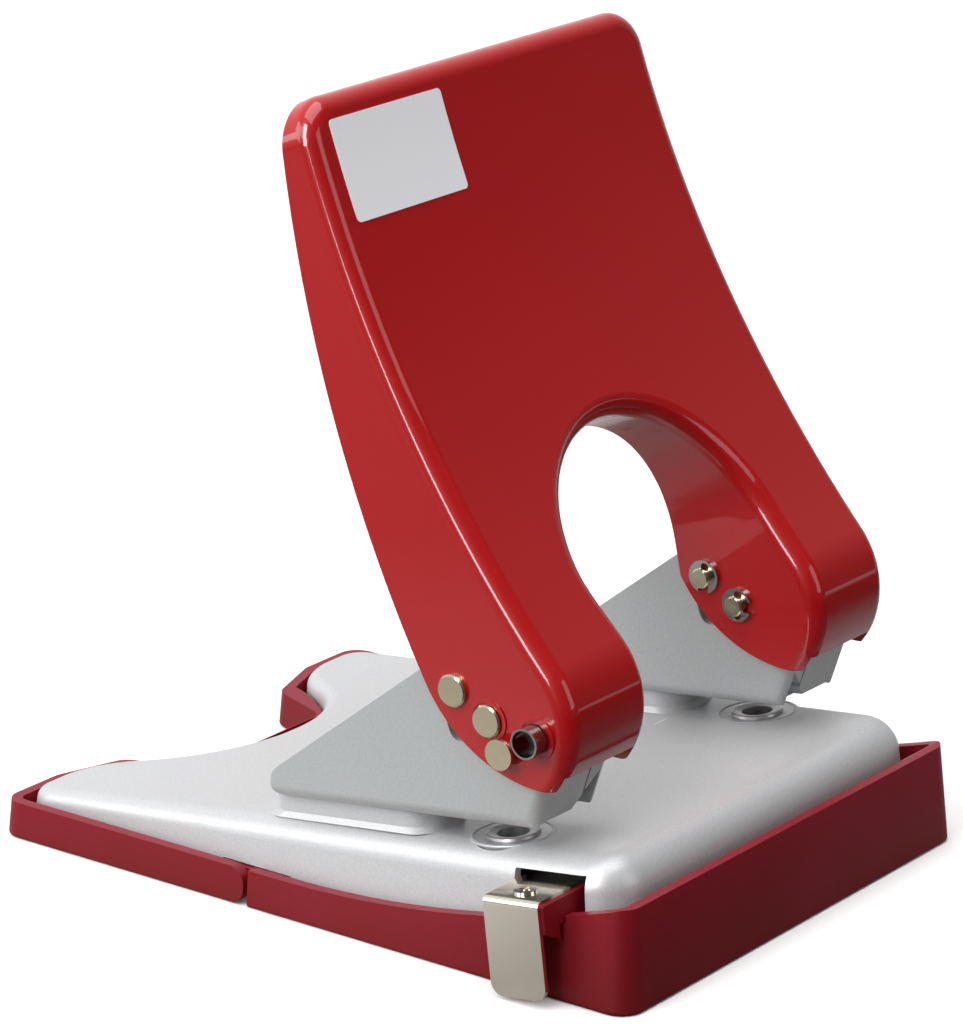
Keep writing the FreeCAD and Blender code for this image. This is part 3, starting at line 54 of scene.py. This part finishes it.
# ---------------------------------------------------------------- node helpers
class Nodes:
    """The node tree of a material or a world, with short calls for what this scene uses."""

    def __init__(self, holder, output):
        holder.use_nodes = True
        self.holder = holder
        self.tree = holder.node_tree
        self.tree.nodes.clear()
        self.out = self.node(output)

    def node(self, kind, settings=None, **inputs):
        """A new node. An input is named as its socket, with _ for a space, or by its number, as i0 or i1."""
        made = self.tree.nodes.new(kind)
        for key, value in (settings or {}).items():
            setattr(made, key, value)
        for key, value in inputs.items():
            numbered = key[0] == "i" and key[1:].isdigit()
            self.put(made.inputs[int(key[1:]) if numbered else key.replace("_", " ")], value)
        return made

    def put(self, socket, value):
        """Links a socket or a node's first output to an input, or writes a constant on the input."""
        if isinstance(value, bpy.types.NodeSocket):
            self.tree.links.new(value, socket)
        elif isinstance(value, bpy.types.Node):
            self.tree.links.new(value.outputs[0], socket)
        else:
            socket.default_value = value

    def combine(self, operation, first, second):
        """One number worked out from two."""
        return self.node("ShaderNodeMath", {"operation": operation}, i0=first, i1=second).outputs[0]

    def along(self, place, way):
        """How far a place lies along a way."""
        product = self.node("ShaderNodeVectorMath", {"operation": "DOT_PRODUCT"}, i0=place, i1=way)
        return product.outputs["Value"]

    def fit(self, value, low, high, to_low=0.0, to_high=1.0):
        """The value with its run from low to high made one from to_low to to_high, and held at both ends."""
        return self.node("ShaderNodeMapRange", i0=value, i1=low, i2=high, i3=to_low, i4=to_high).outputs[0]

    def mix(self, share, first, second):
        """A colour between two."""
        return self.node("ShaderNodeMix", {"data_type": "RGBA"}, i0=share, i6=first, i7=second).outputs[2]

    def noise(self, scale, detail):
        """Noise on the piece's own coordinates, with about scale grains to the metre."""
        place = self.node("ShaderNodeTexCoord").outputs["Object"]
        scaled = self.node("ShaderNodeMapping", Vector=place, Scale=(scale, scale, scale)).outputs[0]
        return self.node("ShaderNodeTexNoise", Vector=scaled, Scale=1.0, Detail=detail).outputs["Fac"]

    def bump(self, height, distance, strength):
        """A normal tipped by a height that stands distance metres high."""
        return self.node("ShaderNodeBump", Height=height, Distance=distance, Strength=strength).outputs[0]

    def principled(self, **inputs):
        return self.node("ShaderNodeBsdfPrincipled", **inputs)

    def finish(self, surface):
        """Puts the surface on the output, and gives back the material or world."""
        self.put(self.out.inputs["Surface"], surface)
        return self.holder


def material(name):
    """The nodes of a new material."""
    return Nodes(bpy.data.materials.new(name), "ShaderNodeOutputMaterial")


def rgb(red, green, blue):
    """Linear colour of an 8-bit sRGB one."""
    def line(value):
        value /= 255
        return value / 12.92 if value <= 0.04045 else ((value + 0.055) / 1.055) ** 2.4
    return (line(red), line(green), line(blue), 1.0)


# ---------------------------------------------------------------- finishes
NOISE_MIDDLE = (0.3, 0.7)         # most of a noise lies between these
WEAR = 0.2                        # a plated part's roughness wanders by this share of itself
CLOUD_RANGE = (0.45, 0.75)        # the noise over which the plastic turns cloudy
CLOUD_SHARE = 0.35
PALER_HEIGHT = 0.018              # the plastic goes from its deep to its paler colour up to here
PAINTED_SHEEN_NORMAL = (0.8, 0.98)          # how far a face looks up where the painted sheen, a paler pink, comes in
GLOW_SHARE = 0.25                 # the part of the plastic that light comes through


def enamel():
    """Gloss red: a dull red base under a clear coat with a fine orange peel."""
    s = material("red enamel")
    peel = s.bump(s.noise(scale=700, detail=2), distance=0.00002, strength=0.15)
    return s.finish(s.principled(Base_Color=rgb(170, 7, 11), Roughness=0.38, Specular_IOR_Level=0.15,
                                 Coat_Weight=1.0, Coat_Roughness=0.045, Normal=peel))


def silver_paint():
    """Pale grey paint with metal flecks, under a thin satin coat."""
    s = material("silver paint")
    fleck = s.fit(s.noise(scale=3200, detail=1), *NOISE_MIDDLE)
    colour = s.mix(fleck, rgb(190, 192, 193), rgb(204, 205, 207))
    grain = s.bump(fleck, distance=0.000004, strength=0.15)
    return s.finish(s.principled(Base_Color=colour, Metallic=0.22, Roughness=0.4, Coat_Weight=0.12,
                                 Coat_Roughness=0.25, Normal=grain))


def zinc_plate():
    """Satin grey plating with a fine grain and no coat."""
    s = material("zinc plate")
    fleck = s.fit(s.noise(scale=1800, detail=3), *NOISE_MIDDLE)
    colour = s.mix(fleck, rgb(172, 175, 176), rgb(182, 185, 185))
    grain = s.bump(fleck, distance=0.000003, strength=0.12)
    return s.finish(s.principled(Base_Color=colour, Metallic=0.2, Roughness=0.42, Normal=grain))


def raspberry_plastic():
    """Slightly see-through red: deep at the foot, paler and cloudy above, with a painted sheen that makes
    faces looking up pinker.
    """
    s = material("raspberry plastic")
    place = s.node("ShaderNodeTexCoord")
    up = s.node("ShaderNodeSeparateXYZ", Vector=place.outputs["Normal"]).outputs[2]
    height = s.node("ShaderNodeSeparateXYZ", Vector=place.outputs["Object"]).outputs[2]
    deep = s.mix(s.fit(height, 0.0, PALER_HEIGHT), rgb(128, 14, 19), rgb(148, 18, 35))
    cloud = s.fit(s.noise(scale=22, detail=2), *CLOUD_RANGE, 0.0, CLOUD_SHARE)
    cloudy = s.mix(cloud, deep, rgb(160, 18, 58))
    # painted sheen: faces that look up get a paler pink in their colour, as if lit from above
    colour = s.mix(s.fit(up, *PAINTED_SHEEN_NORMAL), cloudy, rgb(150, 30, 48))
    body = s.principled(Base_Color=colour, Roughness=0.42, Specular_IOR_Level=0.32, Coat_Weight=0.08,
                        Coat_Roughness=0.12)
    glow = s.node("ShaderNodeBsdfTranslucent", Color=rgb(206, 26, 56))
    return s.finish(s.node("ShaderNodeMixShader", i0=GLOW_SHARE, i1=body, i2=glow))


def plated(name, colour, roughness, metal=1.0):
    """Metal whose roughness wanders by WEAR to either side."""
    s = material(name)
    grain = s.noise(scale=500, detail=3)
    wear = s.fit(grain, *NOISE_MIDDLE, roughness * (1 - WEAR), roughness * (1 + WEAR))
    return s.finish(s.principled(Base_Color=colour, Metallic=metal, Roughness=wear))


def plain(name, colour, roughness):
    """One colour and one roughness all over."""
    s = material(name)
    return s.finish(s.principled(Base_Color=colour, Roughness=roughness))


LOOKS = {"handle_red": enamel(),
         "cover_silver": silver_paint(),
         "bracket_steel": zinc_plate(),
         "boot_red": raspberry_plastic(),
         "nickel": plated("nickel plate", rgb(202, 190, 162), 0.22),
         "bright_nickel": plated("bright nickel", rgb(234, 226, 211), 0.12),
         "tool_steel": plated("ground steel", rgb(178, 176, 178), 0.36, 0.55),
         "label_white": plain("label film", rgb(243, 243, 247), 0.5),
         "black_plastic": plain("black moulding", rgb(20, 20, 22), 0.5)}
CLIP_STEEL = plated("clip steel", rgb(176, 175, 170), 0.18)
EYELET_STEEL = plated("eyelet steel", rgb(150, 147, 142), 0.2)
TICK_PAINT = plain("pale tick paint", rgb(232, 234, 235), 0.45)

for part in frame["record"]["subparts"]:
    look = LOOKS[part["material_slot"]]
    if "clip" in part["node"]:
        look = CLIP_STEEL
    elif part["node"] == "lock_eyelet":
        look = EYELET_STEEL
    for place in frame["nodes"][part["node"]].material_slots:
        place.material = look

# ---------------------------------------------------------------- small pieces on the deck
DECK_TILT = math.radians(7.0)
DIE_RIM_HEIGHT = 0.0229           # the die rims above the desk, at the punches
DECK_BELOW_RIM = 0.0004
PUNCH_X = 0.040
LAP_POINTS = 12                   # points round the section of a bead, a tick or a wire

BEAD_STEPS = 96
BEAD_RADIUS = 0.00766
BEAD_HALF_WIDTH = 0.00042
BEAD_HALF_HEIGHT = 0.00032
BEAD_BELOW_RIM = 0.00062

TICK_STEPS = 24
TICK_X = 0.028
TICK_ALONG = 0.0146
TICK_HALF_LENGTH = 0.0025
TICK_HALF_WIDTH = 0.00022
TICK_HEIGHT = 0.00006
TICK_END = 0.999                  # the line stops just short of where it has no width

SPRING_FOOT = 0.00755             # middle of the wire above the plane of the die rims, at the spring's ends
SPRING_TOP = 0.02015
SPRING_TURNS = 5
SPRING_STEPS = 24                 # sections to a turn
SPRING_RADIUS = 0.0051
WIRE_RADIUS = 0.00045
WIRE_END = 0.7                    # the last section's share of the wire's radius


def on_deck(x, along, above):
    """Points by the die rims' plane: along falls to the back by DECK_TILT, above stands on its normal."""
    return np.stack([x, along * math.cos(DECK_TILT) + above * math.sin(DECK_TILT),
                     DIE_RIM_HEIGHT + above * math.cos(DECK_TILT) - along * math.sin(DECK_TILT)], -1)


def round_angles(count):
    """The angles of count points spread evenly round a circle."""
    return np.linspace(0, 2 * math.pi, count, endpoint=False)


def closed_ring(points):
    """Vertices and quads of a grid of points that closes on itself both ways."""
    rows, columns = points.shape[:2]
    row, column = np.meshgrid(np.arange(rows), np.arange(columns), indexing="ij")
    next_row, next_column = (row + 1) % rows, (column + 1) % columns
    quads = np.stack([row * columns + column, row * columns + next_column,
                      next_row * columns + next_column, next_row * columns + column], -1)
    return points.reshape(-1, 3), quads.reshape(-1, 4).tolist()


def closed_rod(points):
    """Vertices and faces of a rod whose sections are the grid's rows, with a flat face on both ends."""
    vertices, quads = closed_ring(points)
    sides = points.shape[1]
    last = len(vertices) - 1
    return vertices, quads[:-sides] + [list(range(sides)), list(range(last, last - sides, -1))]


def piece(name, vertices, faces, look, body, slot):
    """A smooth mesh with its faces turned outwards, which rides on its body. The slot is not used."""
    mesh = bpy.data.meshes.new(name)
    mesh.from_pydata(vertices.tolist(), [], faces)
    mesh.shade_smooth()
    turned = bmesh.new()
    turned.from_mesh(mesh)
    bmesh.ops.recalc_face_normals(turned, faces=turned.faces)
    turned.to_mesh(mesh)
    turned.free()
    mesh.materials.append(look)
    made = bpy.data.objects.new(name, mesh)
    scene.collection.objects.link(made)
    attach(made, body)
    return made


def seat_bead(side):
    """Pressed bead of the deck round a die: an oval section turned about the die's axis. At the section's
    angle lap it is BEAD_RADIUS + BEAD_HALF_WIDTH * cos(lap) from that axis, and BEAD_HALF_HEIGHT * sin(lap)
    above the section's middle."""
    turn, lap = np.meshgrid(round_angles(BEAD_STEPS), round_angles(LAP_POINTS), indexing="ij")
    out = BEAD_RADIUS + BEAD_HALF_WIDTH * np.cos(lap)
    return closed_ring(on_deck(side * PUNCH_X + out * np.cos(turn), out * np.sin(turn),
                               -BEAD_BELOW_RIM + BEAD_HALF_HEIGHT * np.sin(lap)))


def paper_tick(side):
    """Short raised line across the deck, of oval section. With run from -1 to 1 along the line, the width
    and height of the section fall to nothing at both ends as the square root of 1 - run to the fourth."""
    along_line = np.linspace(-TICK_END, TICK_END, TICK_STEPS)
    run, lap = np.meshgrid(along_line, round_angles(LAP_POINTS), indexing="ij")
    swell = np.sqrt(1 - run ** 4)
    return closed_rod(on_deck(side * (TICK_X + TICK_HALF_LENGTH * run),
                              TICK_ALONG + TICK_HALF_WIDTH * swell * np.sin(lap),
                              -DECK_BELOW_RIM + TICK_HEIGHT * swell * np.cos(lap)))


def return_coil(side):
    """Round wire on a helix about the punch. Its middle goes round SPRING_TURNS times at SPRING_RADIUS and
    climbs evenly from SPRING_FOOT to SPRING_TOP. Each section is a circle of WIRE_RADIUS square to the
    helix, cos(lap) of it outwards and sin(lap) across, and the first and last are smaller, by WIRE_END."""
    climb = SPRING_TOP - SPRING_FOOT
    share = np.linspace(0, 1, SPRING_STEPS * SPRING_TURNS + 1)
    turn = 2 * math.pi * SPRING_TURNS * share
    level = 0 * turn
    rise = climb / (2 * math.pi * SPRING_TURNS * SPRING_RADIUS)
    outward = np.stack([np.cos(turn), np.sin(turn), level], -1)
    onward = np.stack([-np.sin(turn), np.cos(turn), level + rise], -1) / math.hypot(1, rise)
    across = np.cross(onward, outward)
    middle = outward * SPRING_RADIUS + np.stack([level, level, SPRING_FOOT + climb * share], -1)
    lap = round_angles(LAP_POINTS)[:, None]
    wire = WIRE_RADIUS * np.where((share == 0) | (share == 1), WIRE_END, 1.0)[:, None, None]
    ring = middle[:, None] + wire * (outward[:, None] * np.cos(lap) + across[:, None] * np.sin(lap))
    return closed_rod(on_deck(side * (PUNCH_X + ring[..., 0]), ring[..., 1], ring[..., 2]))


for side, word in ((-1, "left"), (1, "right")):
    piece("seat_bead_" + word, *seat_bead(side), LOOKS["cover_silver"], "base", "cover_silver")
    piece("paper_tick_" + word, *paper_tick(side), TICK_PAINT, "base", "cover_silver")
    coil = piece("return_coil_" + word, *return_coil(side), LOOKS["tool_steel"], "base", "tool_steel")
    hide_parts("return_spring_" + word)
    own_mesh(coil)

# ---------------------------------------------------------------- studio
BACKDROP_WAY = (0.3, 0.9, 0.25)   # towards the white backdrop, behind and above
ROOM_EDGE = 0.33                  # how far along that way the backdrop begins, in reflections
ROOM_BLEND = 0.58                 # half the width of its soft edge
ROOM_LEVEL = 0.08                 # the dim room before it
FILL_WAY = (-0.5, 0.7, 0.5)       # towards the brighter side of the room, as a light
FILL_EDGE = (-0.25, 0.9)
FILL_LEAST = 0.06
FILL_MOST = 0.82

FLOOR_WAY = (0.25, 0.9, 0.0)      # the floor's bounce goes from dim to bright across this way
FLOOR_EDGE = (-0.06, 0.01)
FLOOR_DIM = 0.08
FLOOR_BRIGHT = 0.52
FADE_REACH = (0.12, 0.3)          # distances over which the bounce falls
FLOOR_FADE = 0.4
FLOOR_BACKDROP = (0.25, 0.9)      # where the floor turns into the backdrop
BACKDROP_BOUNCE = 0.8
LIFT_REACH = (0.35, 1.5)          # distances over which the floor becomes plain white to the camera
LIFT_NEAR = 0.05
MIRROR_WAY = (0.9, 0.44, 0.0)     # towards the part of the floor that glossy faces see glow
MIRROR_REACH = (0.4, 0.75)
MIRROR_GLOW = 0.8


def studio_world():
    """White to the camera. Reflections see a dim room that turns into a white backdrop along BACKDROP_WAY,
    and matt faces are lit by a room that brightens along FILL_WAY."""
    s = Nodes(bpy.data.worlds.new("studio"), "ShaderNodeOutputWorld")
    rays = s.node("ShaderNodeLightPath").outputs
    way = s.node("ShaderNodeTexCoord").outputs["Generated"]

    def background(strength):
        return s.node("ShaderNodeBackground", Color=(1, 1, 1, 1), Strength=strength)

    depth = s.along(way, BACKDROP_WAY)
    room = s.fit(depth, ROOM_EDGE - ROOM_BLEND, ROOM_EDGE + ROOM_BLEND, ROOM_LEVEL, 1.0)
    fill = s.fit(s.along(way, FILL_WAY), *FILL_EDGE, FILL_LEAST, FILL_MOST)
    reflected = s.combine("MAXIMUM", rays["Is Glossy Ray"], rays["Is Transmission Ray"])
    unseen = s.node("ShaderNodeMixShader", i0=reflected, i1=background(fill), i2=background(room))
    return s.finish(s.node("ShaderNodeMixShader", i0=rays["Is Camera Ray"], i1=unseen, i2=background(1.0)))


def studio_floor():
    """White to the camera, with the object's shadow, and plain white far away. As a bounce it is bright
    beside and behind the object, dim in front of it and white far behind. Glossy faces see it glow some way
    off on the right."""
    s = material("studio floor")
    rays = s.node("ShaderNodeLightPath").outputs
    place = s.node("ShaderNodeTexCoord").outputs["Object"]
    reach = s.node("ShaderNodeVectorMath", {"operation": "LENGTH"}, i0=place).outputs["Value"]

    side = s.fit(s.along(place, FLOOR_WAY), *FLOOR_EDGE, FLOOR_DIM, FLOOR_BRIGHT)
    near = s.combine("MULTIPLY", side, s.fit(reach, *FADE_REACH, 1.0, FLOOR_FADE))
    behind = s.fit(s.along(place, BACKDROP_WAY), *FLOOR_BACKDROP, 0.0, BACKDROP_BOUNCE)
    bounce = s.combine("MAXIMUM", near, behind)
    level = s.node("ShaderNodeMix", {"data_type": "FLOAT"}, i0=rays["Is Camera Ray"], i2=bounce, i3=1.0)
    colour = s.node("ShaderNodeCombineColor", i0=level, i1=level, i2=level)
    white = s.node("ShaderNodeBsdfDiffuse", Color=colour)

    far_white = s.combine("MULTIPLY", rays["Is Camera Ray"], s.fit(reach, *LIFT_REACH, LIFT_NEAR, 1.0))
    gleam = s.fit(s.along(place, MIRROR_WAY), *MIRROR_REACH, 0.0, MIRROR_GLOW)
    mirrored = s.combine("MULTIPLY", rays["Is Glossy Ray"], gleam)
    glow = s.node("ShaderNodeEmission", Strength=s.combine("ADD", far_white, mirrored))
    return s.finish(s.node("ShaderNodeAddShader", i0=white, i1=glow))


def soft_box(name, place, target, width, height, power):
    """White rectangular lamp of a power in watts, which faces its target."""
    light = bpy.data.lights.new(name, "AREA")
    light.shape = "RECTANGLE"
    light.size = width
    light.size_y = height
    light.energy = power
    holder = bpy.data.objects.new(name, light)
    scene.collection.objects.link(holder)
    holder.location = place
    holder.rotation_euler = (Vector(target) - Vector(place)).to_track_quat("-Z", "Y").to_euler()
    return holder


scene.world = studio_world()
soft_box("left box", (-0.75, 0.03, 0.6), (0, 0.02, 0.05), width=0.4, height=0.6, power=3.2)
edge_strip = soft_box("edge strip", (-0.7, -0.03, 0.5), (0, 0.02, 0.08), width=0.24, height=0.7, power=6.5)
edge_strip.visible_diffuse = False      # only a highlight along the folds
soft_box("back left box", (-0.62, 0.5, 0.42), (0.02, 0.03, 0.03), width=0.5, height=0.5, power=2.7)
soft_box("top box", (0.0, -0.05, 0.95), (0, 0.02, 0.05), width=0.8, height=0.8, power=6.1)
soft_box("front box", (0.15, -0.95, 0.45), (0, 0.02, 0.08), width=0.5, height=0.5, power=1.3)

FLOOR_HALF = 30
floor_mesh = bpy.data.meshes.new("floor")
floor_mesh.from_pydata([(-FLOOR_HALF, -FLOOR_HALF, 0), (FLOOR_HALF, -FLOOR_HALF, 0),
                        (FLOOR_HALF, FLOOR_HALF, 0), (-FLOOR_HALF, FLOOR_HALF, 0)], [], [(0, 1, 2, 3)])
floor_mesh.materials.append(studio_floor())
floor = bpy.data.objects.new("floor", floor_mesh)
scene.collection.objects.link(floor)

# ---------------------------------------------------------------- camera
CAMERA_AZIMUTH = math.radians(-53.0594)
CAMERA_ELEVATION = math.radians(17.9641)
CAMERA_RIGHT, CAMERA_UP, CAMERA_BACK = -29.851, 70.194, 926.645      # mm along the camera's own axes
MM = 1000                         # millimetres to the metre
FOCAL_PIXELS = 4856.481
FRAME_PIXELS = 1024               # the frame's longer side
SENSOR_WIDTH = 36

right = Vector((math.cos(CAMERA_AZIMUTH), math.sin(CAMERA_AZIMUTH), 0))
back = Vector((math.sin(CAMERA_AZIMUTH) * math.cos(CAMERA_ELEVATION),
               -math.cos(CAMERA_AZIMUTH) * math.cos(CAMERA_ELEVATION), math.sin(CAMERA_ELEVATION)))
up = back.cross(right)
camera_data = bpy.data.cameras.new("camera")
camera_data.sensor_width = SENSOR_WIDTH
camera_data.lens = FOCAL_PIXELS * SENSOR_WIDTH / FRAME_PIXELS
camera_data.clip_end = 100
camera = bpy.data.objects.new("camera", camera_data)
scene.collection.objects.link(camera)
stand = Matrix.Translation((right * CAMERA_RIGHT + up * CAMERA_UP + back * CAMERA_BACK) / MM)
camera.matrix_world = stand @ Matrix((right, up, back)).transposed().to_4x4()
scene.camera = camera
scene.view_settings.view_transform = "Standard"
